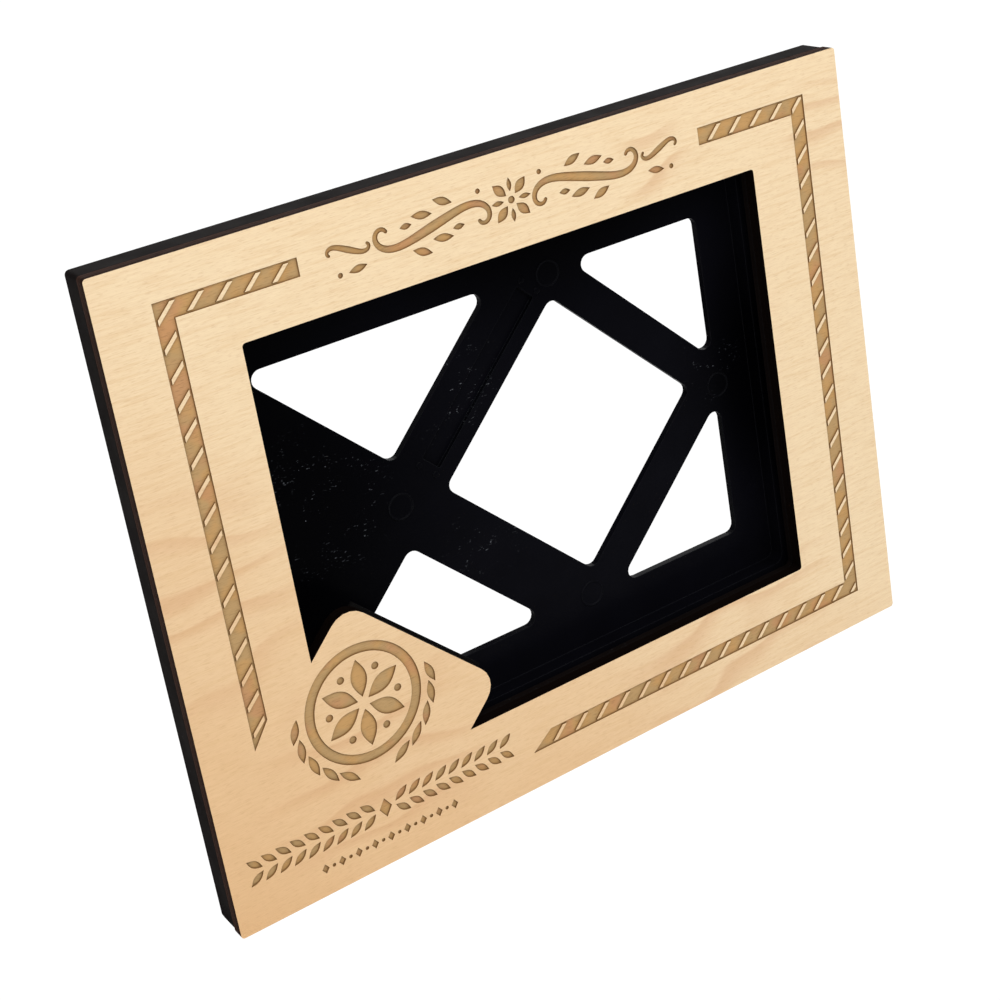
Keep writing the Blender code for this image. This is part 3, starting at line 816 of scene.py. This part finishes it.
# %% Border ribbon
BAND_LEFT, BAND_RIGHT = 12.3, 180.7
BAND_BOTTOM, BAND_TOP = 9.2, 143.55
BAND_WIDTH = 4.2
SLASH_INSET = 0.55
CORNER_SLASH_REACH = 5

inner_left = BAND_LEFT + BAND_WIDTH
inner_right = BAND_RIGHT - BAND_WIDTH
inner_bottom = BAND_BOTTOM + BAND_WIDTH
inner_top = BAND_TOP - BAND_WIDTH
TOP_LEFT_END, TOP_RIGHT_START = 44.3, 148.5
LEFT_TIP, LEFT_SHOULDER = 41.5, 47.4
BOTTOM_TIP, BOTTOM_SHOULDER = 78.1, 83.7

left_slashes = [slash(
    0,
    BAND_LEFT + SLASH_INSET,
    inner_left + CORNER_SLASH_REACH,
    inner_top - CORNER_SLASH_REACH,
    BAND_TOP - SLASH_INSET,
)]
for number in range(1, 5):
    left_slashes.append(slash(
        number, BAND_LEFT, TOP_LEFT_END, inner_top + SLASH_INSET, BAND_TOP - SLASH_INSET
    ))
for number in range(1, 16):
    left_slashes.append(slash(
        number, BAND_LEFT + SLASH_INSET, inner_left - SLASH_INSET, 0.0, FACE_HEIGHT
    ))
right_slashes = []
for number in range(22, 26):
    right_slashes.append(slash(
        number, TOP_RIGHT_START, inner_right, inner_top + SLASH_INSET, BAND_TOP - SLASH_INSET
    ))
for number in range(26, 48):
    right_slashes.append(slash(
        number,
        inner_right + SLASH_INSET,
        BAND_RIGHT - SLASH_INSET,
        BAND_BOTTOM + SLASH_INSET,
        BAND_TOP - SLASH_INSET,
    ))
for number in range(32, 47):
    right_slashes.append(slash(
        number, BOTTOM_TIP, inner_right, BAND_BOTTOM + SLASH_INSET, inner_bottom - SLASH_INSET
    ))

add_pocket(
    [
        (BAND_LEFT, BAND_TOP),
        (BAND_LEFT, LEFT_TIP),
        (inner_left, LEFT_SHOULDER),
        (inner_left, inner_top),
        (TOP_LEFT_END, inner_top),
        (TOP_LEFT_END, BAND_TOP),
    ],
    left_slashes,
    margin=0.14,
)
add_pocket(
    [
        (TOP_RIGHT_START, BAND_TOP),
        (TOP_RIGHT_START, inner_top),
        (inner_right, inner_top),
        (inner_right, inner_bottom),
        (BOTTOM_SHOULDER, inner_bottom),
        (BOTTOM_TIP, BAND_BOTTOM),
        (BAND_RIGHT, BAND_BOTTOM),
        (BAND_RIGHT, BAND_TOP),
    ],
    right_slashes,
    margin=0.14,
)
print(len(left_slashes) + len(right_slashes), "slashes")

# %% [markdown]
# ### Leaves, scrolls and dots
#
# The ornaments are made of three strokes that engravers have always used. A leaf is
# two arcs that meet in points. A scroll is a line whose bend grows from its middle
# towards both ends, so that it curls up at each, drawn with a pen that presses
# harder in the middle. Half of it is drawn, and half a turn makes the rest.

# %% Ornament strokes
def heading(angle):
    return Vector((math.cos(angle), math.sin(angle)))


def leaf(base, angle, length, width, steps=9):
    turned = Matrix.Rotation(angle, 2)
    points = []
    for step in range(steps + 1):
        share = step / steps
        points.append(Vector((length * share, -width / 2 * math.sin(math.pi * share))))
    for step in range(1, steps):
        share = 1 - step / steps
        points.append(Vector((length * share, width / 2 * math.sin(math.pi * share))))
    return [Vector(base) + turned @ point for point in points]


def dot(centre, radius, sides=20):
    points = []
    for step in range(sides):
        angle = math.tau * step / sides
        points.append(Vector(centre) + heading(angle) * radius)
    return points


def scroll(middle, tilt, length, curl, thin, thick, steps=44):
    place, angle = Vector((0.0, 0.0)), tilt
    right, left = [], []
    for step in range(steps + 1):
        share = step / steps
        width = thick + (thin - thick) * share ** 1.3
        side = heading(angle + math.pi / 2) * width / 2
        right.append(place - side)
        left.append(place + side)
        if step < steps:
            angle += curl * share ** 3 * length / 2 / steps
            place = place + heading(angle) * length / 2 / steps
    round_tip = [
        place + heading(angle + math.pi * (part / 6 - 0.5)) * thin / 2 for part in range(1, 6)
    ]
    half = right + round_tip + left[:0:-1]
    return [Vector(middle) + point for point in half + [-point for point in half]]


def mirrored(outline, middle):
    return [Vector((2 * middle - point.x, point.y)) for point in reversed(outline)]


# %% [markdown]
# ### Ornament over the window
#
# A flower with a pair of scrolls and leaves on each side fills the place over the
# window. Everything right of the flower is listed once, and mirrored.

# %% Crest over the window
CREST = Vector((96.5, 141.0))
CREST_SCROLLS = (
    ((20.0, -0.2), -15, 40.0, 0.92, 0.9, 2.3),
    ((40.6, 0.7), 26, 12.6, -2.0, 0.7, 1.5),
)
CREST_LEAVES = (
    ((14.6, 3.6), 22, 5.0, 1.9),
    ((19.8, 2.6), 8, 5.2, 1.9),
    ((25.0, 1.7), -2, 3.0, 1.4),
    ((25.8, -4.0), 202, 5.0, 1.9),
    ((20.6, -3.0), 188, 5.2, 1.9),
    ((15.4, -2.1), 178, 3.0, 1.4),
    ((36.8, -3.6), -8, 4.6, 1.7),
)
CREST_DOTS = ((8.0, 4.2), (43.4, -4.2))
CREST_PETALS = ((0, 1.9, 3.2, 1.2, 0.22), (45, 1.6, 4.4, 2.3, 0.3))


def both_sides(outline, middle, margin=0.3):
    add_pocket(outline, margin=margin)
    add_pocket(mirrored(outline, middle.x), margin=margin)


add_pocket(dot(CREST, 0.85), margin=0.25)
for quarter in range(4):
    for slant, start, length, width, margin in CREST_PETALS:
        angle = math.pi / 2 * quarter + math.radians(slant)
        root = CREST + heading(angle) * start
        add_pocket(leaf(root, angle, length, width), margin=margin)
for offset, tilt, *stroke in CREST_SCROLLS:
    both_sides(scroll(CREST + Vector(offset), math.radians(tilt), *stroke), CREST, 0.25)
for offset, tilt, *stroke in CREST_LEAVES:
    both_sides(leaf(CREST + Vector(offset), math.radians(tilt), *stroke), CREST)
for offset in CREST_DOTS:
    both_sides(dot(CREST + Vector(offset), 0.6), CREST, 0.2)
print(len(pockets), "pockets so far")

# %% [markdown]
# ### Rosette in the tab
#
# The tab carries a daisy wheel, the six-petalled rosette that carpenters draw with
# nothing but a compass, inside a ring with laurel leaves round its lower half.

# %% Rosette
ROSETTE = Vector((38.8, 41.2))
RING_OUTER, RING_INNER = 14.4, 12.0
RING_SIDES = 72
PETAL_START, PETAL_LENGTH, PETAL_WIDTH = 1.5, 9.3, 4.0
PETAL_DOTS_OUT = 8.6
SPRIG_RADIUS = 18.1
SPRIG_START, SPRIG_STEP, SPRIG_SLANT = 188, 17, 116

add_pocket(
    dot(ROSETTE, RING_OUTER, RING_SIDES),
    [list(reversed(dot(ROSETTE, RING_INNER, RING_SIDES)))],
)
for petal in range(6):
    angle = math.tau * petal / 6 + math.pi / 2
    root = ROSETTE + heading(angle) * PETAL_START
    add_pocket(leaf(root, angle, PETAL_LENGTH, PETAL_WIDTH, 14))
    between = angle + math.tau / 12
    add_pocket(dot(ROSETTE + heading(between) * PETAL_DOTS_OUT, 0.9), margin=0.25)
for step in range(5):
    angle = math.radians(SPRIG_START + SPRIG_STEP * step)
    root = ROSETTE + heading(angle) * SPRIG_RADIUS
    both_sides(leaf(root, angle - math.radians(SPRIG_SLANT), 6.0, 2.0), ROSETTE)
print(len(pockets), "pockets so far")

# %% [markdown]
# ### Laurel and beads along the bottom
#
# Under the rosette runs a laurel band, leaves in pairs that part from a lozenge in
# the middle, and below it a fine row of beads.

# %% Laurel band and bead row
LAUREL = Vector((38.8, 14.1))
LAUREL_PAIRS = 9
LAUREL_PITCH = 3.5
LAUREL_START, LAUREL_SPREAD, LAUREL_SLANT = 2.6, 0.45, 38
BEADS = Vector((38.8, 6.6))
BEAD_COUNT = 9
BEAD_PITCH = 4.2


def lozenge(centre, half_width, half_height):
    corners = ((half_width, 0), (0, half_height), (-half_width, 0), (0, -half_height))
    return [Vector(centre) + Vector(offset) for offset in corners]


add_pocket(lozenge(LAUREL, 1.6, 2.4), margin=0.3)
for pair in range(LAUREL_PAIRS):
    for upward in (1, -1):
        base = LAUREL + Vector((LAUREL_START + LAUREL_PITCH * pair, LAUREL_SPREAD * upward))
        both_sides(leaf(base, math.radians(LAUREL_SLANT) * upward, 4.4, 1.7), LAUREL)
for bead in range(BEAD_COUNT):
    centre = BEADS + Vector(((bead - (BEAD_COUNT - 1) / 2) * BEAD_PITCH, 0.0))
    add_pocket(lozenge(centre, 0.9, 1.2), margin=0.15)
    if bead:
        add_pocket(dot(centre - Vector((BEAD_PITCH / 2, 0.0)), 0.45, 12), margin=0.12)
print(len(pockets), "pockets in all")

# %% [markdown]
# ## Cutting the engraved face
#
# The face could be cut with Boolean modifiers, but a hundred pockets would be slow,
# and the scorch needs a ring of points of its own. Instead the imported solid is
# copied, its front is lifted off, and a new front is filled in between its edges and
# the outlines. Walls, scorched margins and floors hang from the outlines, so the
# whole stays one closed skin.

# %% From mesh to piece
def make_piece(name, mesh, *materials):
    data = bpy.data.meshes.new(name)
    mesh.to_mesh(data)
    mesh.free()
    for material in materials:
        data.materials.append(material)
    piece = bpy.data.objects.new(name, data)
    bpy.context.scene.collection.objects.link(piece)
    return piece


# %% Loops of one pocket
ENGRAVED_DEPTH = 0.35
WALL_RUN = 0.1
MAPLE_SLOT, FLOOR_SLOT, WALL_SLOT, EDGE_SLOT, BACK_SLOT = range(5)

# The fill sweeps across the face and goes wrong where many points lie level, so the
# face is turned a little while it is filled
FILL_TURN = Matrix.Rotation(math.radians(5), 4, "Z")


def add_loop(mesh, outline, z, scorched, layer):
    points = [mesh.verts.new((point.x, point.y, z)) for point in outline]
    for point in points:
        point[layer] = scorched
    sides = [
        mesh.edges.new((point, points[(index + 1) % len(points)]))
        for index, point in enumerate(points)
    ]
    return points, sides


def join_loops(mesh, first, second, material_index):
    for index in range(len(first)):
        following = (index + 1) % len(first)
        face = mesh.faces.new((first[index], first[following], second[following], second[index]))
        face.material_index = material_index


def fill(mesh, sides, material_index):
    made = bmesh.ops.triangle_fill(mesh, edges=sides, use_beauty=True, normal=(0, 0, 1))
    faces = [item for item in made["geom"] if isinstance(item, bmesh.types.BMFace)]
    for face in faces:
        face.material_index = material_index
    return faces


# %% Build the face
def engraved_face():
    mesh = bmesh.new()
    mesh.from_mesh(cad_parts["wood_face"].data)
    bmesh.ops.transform(mesh, matrix=PANEL.inverted(), verts=mesh.verts)
    bmesh.ops.remove_doubles(mesh, verts=mesh.verts, dist=0.001)
    layer = mesh.verts.layers.float.new("scorch")
    for face in mesh.faces:
        face.normal_update()
        facing = face.normal.z
        face.material_index = EDGE_SLOT if abs(facing) < 0.5 else BACK_SLOT
    front = [face for face in mesh.faces if face.normal.z > 0.9]
    bmesh.ops.delete(mesh, geom=front, context="FACES")
    surface_sides = [side for side in mesh.edges if side.is_boundary]
    floors = []
    for pocket in pockets:
        floor_sides = []
        for outline in [pocket["outer"], *pocket["islands"]]:
            top, top_sides = add_loop(mesh, outline, 0.0, 1.0, layer)
            foot_line = moved_in(outline, WALL_RUN)
            foot, _ = add_loop(mesh, foot_line, -ENGRAVED_DEPTH, 1.0, layer)
            margin_line = moved_in(outline, WALL_RUN + pocket["margin"])
            rim, rim_sides = add_loop(mesh, margin_line, -ENGRAVED_DEPTH, 0.0, layer)
            join_loops(mesh, top, foot, WALL_SLOT)
            join_loops(mesh, foot, rim, FLOOR_SLOT)
            surface_sides += top_sides
            floor_sides += rim_sides
        floors.append(floor_sides)
    bmesh.ops.transform(mesh, matrix=FILL_TURN, verts=mesh.verts)
    for floor_sides in floors:
        fill(mesh, floor_sides, FLOOR_SLOT)
    surface = fill(mesh, surface_sides, MAPLE_SLOT)
    bmesh.ops.transform(mesh, matrix=FILL_TURN.inverted(), verts=mesh.verts)
    bmesh.ops.recalc_face_normals(mesh, faces=mesh.faces)
    area = sum(face.calc_area() for face in surface)
    loose = sum(1 for side in mesh.edges if not side.is_manifold)
    bmesh.ops.transform(mesh, matrix=PANEL, verts=mesh.verts)
    print("front surface", round(area), "square mm;", loose, "edges not closed")
    return make_piece("engraved_face", mesh, maple, toasted, burnt_wall, charred, ply_back)


face_piece = engraved_face()
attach(face_piece, "root")
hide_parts("wood_face")
print(len(face_piece.data.polygons), "faces in the engraved face")

# %% [markdown]
# ## Marks of the mould
#
# Four pins push the cooling lattice out of its mould, and each leaves a disc that
# stands a hair proud of the floor, with a fine rim. The leg's locating groove has a
# small pip at each corner. They are thin, but they are real shapes and catch the
# light.

# %% Profile turned into a disc
LATTICE_FRONT = -12.2


def turned_disc(name, centre, profile, z, material, sides=40):
    mesh = bmesh.new()
    rings = []
    for radius, height in profile:
        ring = []
        for side in range(sides):
            angle = math.tau * side / sides
            ring.append(mesh.verts.new((
                centre[0] + radius * math.cos(angle),
                centre[1] + radius * math.sin(angle),
                z + height,
            )))
        rings.append(ring)
    for first, second in zip(rings, rings[1:]):
        for side in range(sides):
            following = (side + 1) % sides
            mesh.faces.new((first[side], first[following], second[following], second[side]))
    mesh.faces.new(list(reversed(rings[0])))
    mesh.faces.new(rings[-1])
    bmesh.ops.recalc_face_normals(mesh, faces=mesh.faces)
    bmesh.ops.transform(mesh, matrix=PANEL, verts=mesh.verts)
    return make_piece(name, mesh, material)


# %% Ejector marks
EJECTOR_PLACES = ((62.2, 76.2), (109.8, 117.5), (153.3, 74.4), (107.9, 34.9))
EJECTOR_PROFILE = (
    (3.3, -0.2), (3.3, 0.08), (3.15, 0.2), (3.0, 0.2), (2.8, 0.03), (0.4, 0.03)
)

for number, place in enumerate(EJECTOR_PLACES, 1):
    mark = turned_disc(
        f"ejector_mark_{number}", place, EJECTOR_PROFILE, LATTICE_FRONT, back_black
    )
    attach(mark, "root")
print(len(EJECTOR_PLACES), "ejector marks")

# %% Pips at the groove's corners
GROOVE_MIDDLE = Vector((87.4, 99.2))
GROOVE_ALONG = heading(math.radians(45))
GROOVE_ACROSS = heading(math.radians(135))
PIP_ALONG, PIP_ACROSS = 24.0, 2.6
PIP_PROFILE = ((0.8, -0.2), (0.8, 0.1), (0.65, 0.22), (0.3, 0.28))

for end, end_name in ((-1, "lower"), (1, "upper")):
    for edge, edge_name in ((-1, "right"), (1, "left")):
        along = GROOVE_ALONG * PIP_ALONG * end
        across = GROOVE_ACROSS * PIP_ACROSS * edge
        place = GROOVE_MIDDLE + along + across
        name = f"groove_pip_{end_name}_{edge_name}"
        pip = turned_disc(name, place, PIP_PROFILE, LATTICE_FRONT, back_black, sides=20)
        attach(pip, "root")
print("four groove pips")

# %% [markdown]
# ## Strip behind the tab
#
# The photograph shows a thin black line along the tab's long free edge, against the
# white opening behind. What makes it can't be seen. A fifth strip of the foam, which
# stands out a little from behind the tab, draws it here.

# %% Tab strip
TAB_APEX = Vector((39.0, 65.8))
TAB_FAR_CORNER = Vector((72.5, 32.3))
STRIP_OUT, STRIP_IN, STRIP_SHORT = 0.7, -5.0, 4.0
STRIP_FRONT, STRIP_BACK = -3.42, -4.2


def tab_strip():
    along = (TAB_FAR_CORNER - TAB_APEX).normalized()
    outward = Vector((-along.y, along.x))
    mesh = bmesh.new()
    loops = []
    for z, shrink in ((STRIP_FRONT, 0.0), (STRIP_FRONT - 0.35, 0.08), (STRIP_BACK, 0.0)):
        corners = []
        for end, way in ((TAB_APEX, 1), (TAB_FAR_CORNER, -1)):
            start = end + along * (STRIP_SHORT + shrink) * way
            reaches = (STRIP_IN + shrink, STRIP_OUT - shrink)
            for reach in reaches[::way]:
                corners.append(start + outward * reach)
        loops.append([mesh.verts.new((point.x, point.y, z)) for point in corners])
    for first, second in zip(loops, loops[1:]):
        join_loops(mesh, first, second, 0)
    mesh.faces.new(loops[0])
    mesh.faces.new(loops[-1][::-1])
    bmesh.ops.recalc_face_normals(mesh, faces=mesh.faces)
    bmesh.ops.transform(mesh, matrix=PANEL, verts=mesh.verts)
    return make_piece("tab_strip", mesh, foam_tape)


strip = tab_strip()
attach(strip, "root")
print("strip behind the tab:", round((TAB_FAR_CORNER - TAB_APEX).length - 2 * STRIP_SHORT), "mm")

# %% [markdown]
# ## Skirt of the rim
#
# Seen from the side, the rim goes back further than the plate that it carries: a
# thin skirt stands round the lattice's flange and its snaps. Its back edge is
# rounded, and its foot is trimmed level so that the frame stands flat on a table.

# %% Skirt
SKIRT_INSET = 0.15
SKIRT_CORNER = 1.05
SKIRT_FRONT, SKIRT_BACK = -4.05, -11.0
SKIRT_SECTION = (
    (0.0, SKIRT_FRONT),
    (0.0, SKIRT_BACK + 0.6),
    (0.2, SKIRT_BACK + 0.15),
    (0.6, SKIRT_BACK),
    (1.2, SKIRT_BACK),
    (1.2, SKIRT_FRONT),
)


def rounded_rectangle(inset, radius, steps=5):
    low = inset + radius
    right, top = FACE_WIDTH - low, FACE_HEIGHT - low
    points = []
    for x, y, start in ((right, low, -90), (right, top, 0), (low, top, 90), (low, low, 180)):
        for step in range(steps + 1):
            angle = math.radians(start + 90 * step / steps)
            points.append(Vector((x, y)) + heading(angle) * radius)
    return points


def rim_skirt():
    mesh = bmesh.new()
    loops = []
    for inward, z in SKIRT_SECTION:
        outline = rounded_rectangle(SKIRT_INSET + inward, max(SKIRT_CORNER - inward, 0.2))
        loops.append([mesh.verts.new((point.x, point.y, z)) for point in outline])
    for first, second in zip(loops, loops[1:] + loops[:1]):
        join_loops(mesh, first, second, 0)
    bmesh.ops.transform(mesh, matrix=PANEL, verts=mesh.verts)
    everything = mesh.verts[:] + mesh.edges[:] + mesh.faces[:]
    bmesh.ops.bisect_plane(mesh, geom=everything, plane_no=(0, 0, -1), clear_outer=True)
    foot_sides = [side for side in mesh.edges if side.is_boundary]
    bmesh.ops.triangle_fill(mesh, edges=foot_sides, use_beauty=True)
    bmesh.ops.recalc_face_normals(mesh, faces=mesh.faces)
    loose = sum(1 for side in mesh.edges if not side.is_manifold)
    print("skirt:", loose, "edges not closed")
    return make_piece("rim_skirt", mesh, rim_black)


skirt = rim_skirt()
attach(skirt, "root")

# %% [markdown]
# ## Table and light
#
# The photograph shows the frame on plain white with no shadow. A pale floor under a
# large soft lamp comes close. The floor also glows for the camera alone, which lifts
# the last of the shadow and leaves the light on the object as it is.

# %% Floor
FLOOR_HALF = 3.0
PAPER_WHITE = paint(245, 245, 245)
BRIGHT_PAPER = paint(250, 250, 250)
FLOOR_GLOW = 1.05

paper, tree, shader = new_material("white_paper", Roughness=0.9)
position = panel_position(tree)
paper_tone = blend_colours(tree, cloudy(tree, position, 300.0), PAPER_WHITE, BRIGHT_PAPER)
tree.links.new(paper_tone, shader.inputs["Base Color"])
glow = put(tree, "ShaderNodeEmission", {"Strength": FLOOR_GLOW})
seen = put(tree, "ShaderNodeLightPath")
mixed = put(
    tree,
    "ShaderNodeMixShader",
    {
        0: seen.outputs["Is Camera Ray"],
        1: shader.outputs["BSDF"],
        2: glow.outputs["Emission"],
    },
)
tree.links.new(mixed.outputs["Shader"], tree.nodes["Material Output"].inputs["Surface"])

floor_mesh = bmesh.new()
bmesh.ops.create_grid(floor_mesh, x_segments=8, y_segments=8, size=FLOOR_HALF)
floor = make_piece("floor", floor_mesh, paper)
print("floor", 2 * FLOOR_HALF, "m wide")

# %% Lamps and surroundings
SKY_ON_OBJECT, SKY_IN_VIEW = 0.45, 1.0


def soft_lamp(name, place, target, size, power):
    lamp = bpy.data.objects.new(name, bpy.data.lights.new(name, "AREA"))
    bpy.context.scene.collection.objects.link(lamp)
    lamp.data.shape = "RECTANGLE"
    lamp.data.size, lamp.data.size_y = size
    lamp.data.energy = power
    lamp.location = place
    aim = Vector(target) - Vector(place)
    lamp.rotation_euler = aim.to_track_quat("-Z", "Y").to_euler()


soft_lamp("overhead_softbox", (0.15, -0.35, 0.95), (0.0, 0.0, 0.08), (0.9, 0.7), 8.0)
soft_lamp("left_fill", (-1.0, -0.5, 0.5), (0.0, 0.0, 0.08), (0.8, 0.8), 3.0)
soft_lamp("back_fill", (0.45, 1.1, 0.16), (0.0, 0.03, 0.06), (1.2, 0.3), 4.0)

world = bpy.data.worlds.new("studio")
bpy.context.scene.world = world
world.use_nodes = True
tree = world.node_tree
air = tree.nodes["Background"]
air.inputs["Color"].default_value = (1.0, 1.0, 1.0, 1.0)
ray = put(tree, "ShaderNodeLightPath")
seen = ray.outputs["Is Camera Ray"]
strength = map_range(tree, seen, 0.0, 1.0, SKY_ON_OBJECT, SKY_IN_VIEW)
tree.links.new(strength, air.inputs["Strength"])
view = bpy.context.scene.view_settings
view.view_transform = "Standard"
view.look = "None"
view.exposure = 0.0
print("lamps set")
